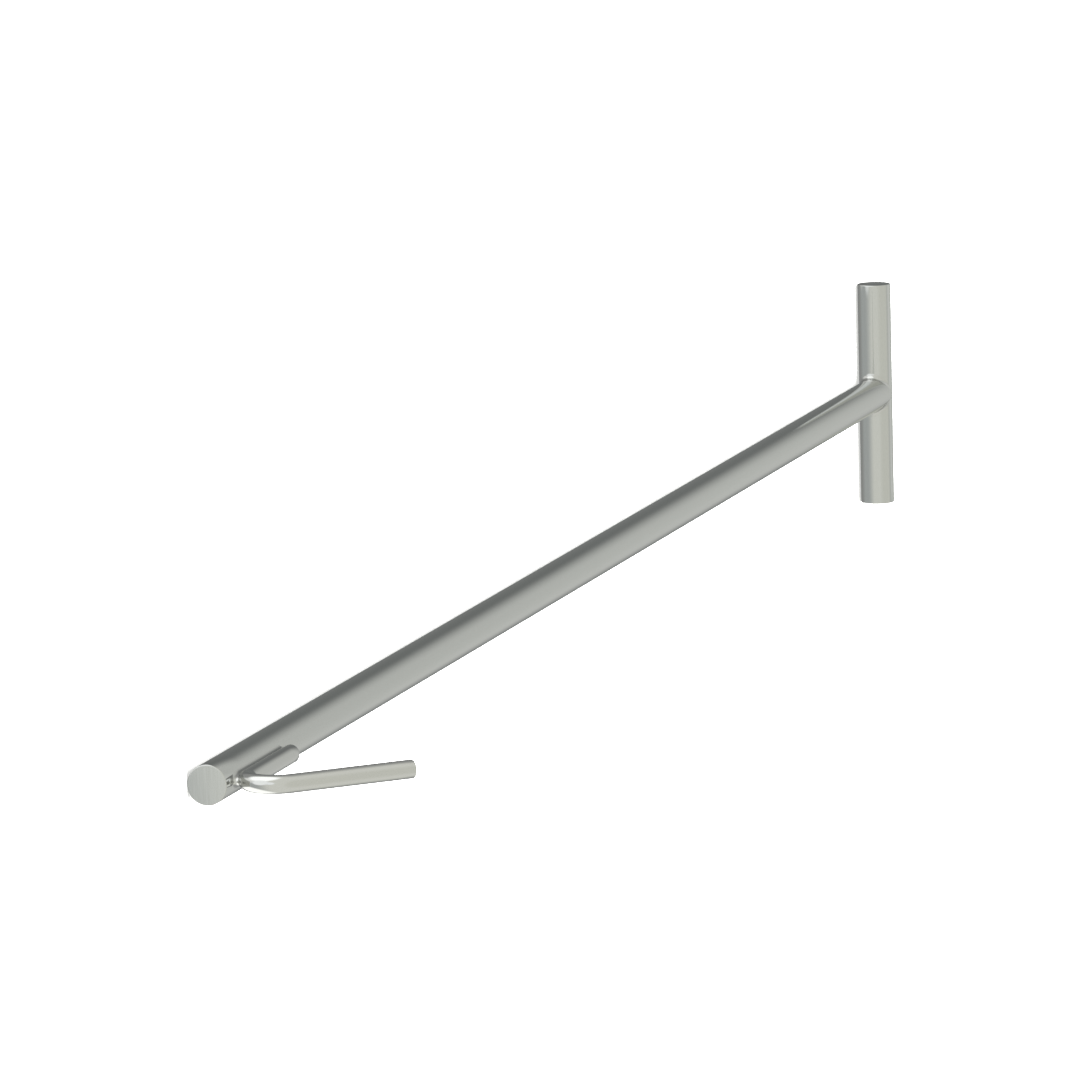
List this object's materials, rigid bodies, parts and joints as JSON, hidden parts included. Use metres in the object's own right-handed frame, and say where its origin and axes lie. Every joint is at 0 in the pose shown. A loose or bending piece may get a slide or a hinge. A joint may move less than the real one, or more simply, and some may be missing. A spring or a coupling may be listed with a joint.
{
  "type": "t-handle lifting hook",
  "caption": "Long round steel bar with a welded cross bar as a T handle and a bent rod hook on its other end, for lifting and pulling gratings and covers.",
  "frame": {"origin": "centre of the shaft's end face at the tool end", "axes": "+X along the shaft towards the cross handle, +Y along the cross handle, +Z towards the side that the hook stands on"},
  "size_m": [1.015, 0.1, 0.0738],
  "materials": {
    "shaft_steel": "fine brushed stainless steel",
    "handle_steel": "fine brushed stainless steel",
    "rod_steel": "smooth drawn stainless rod",
    "weld_steel": "ground and brushed weld"
  },
  "bodies": {
    "root": {"shaft": "shaft_steel", "cross_handle": "handle_steel", "hook_rod": "rod_steel", "hook_weld": "weld_steel", "handle_weld_left": "weld_steel", "handle_weld_right": "weld_steel"}
  },
  "joints": []
}
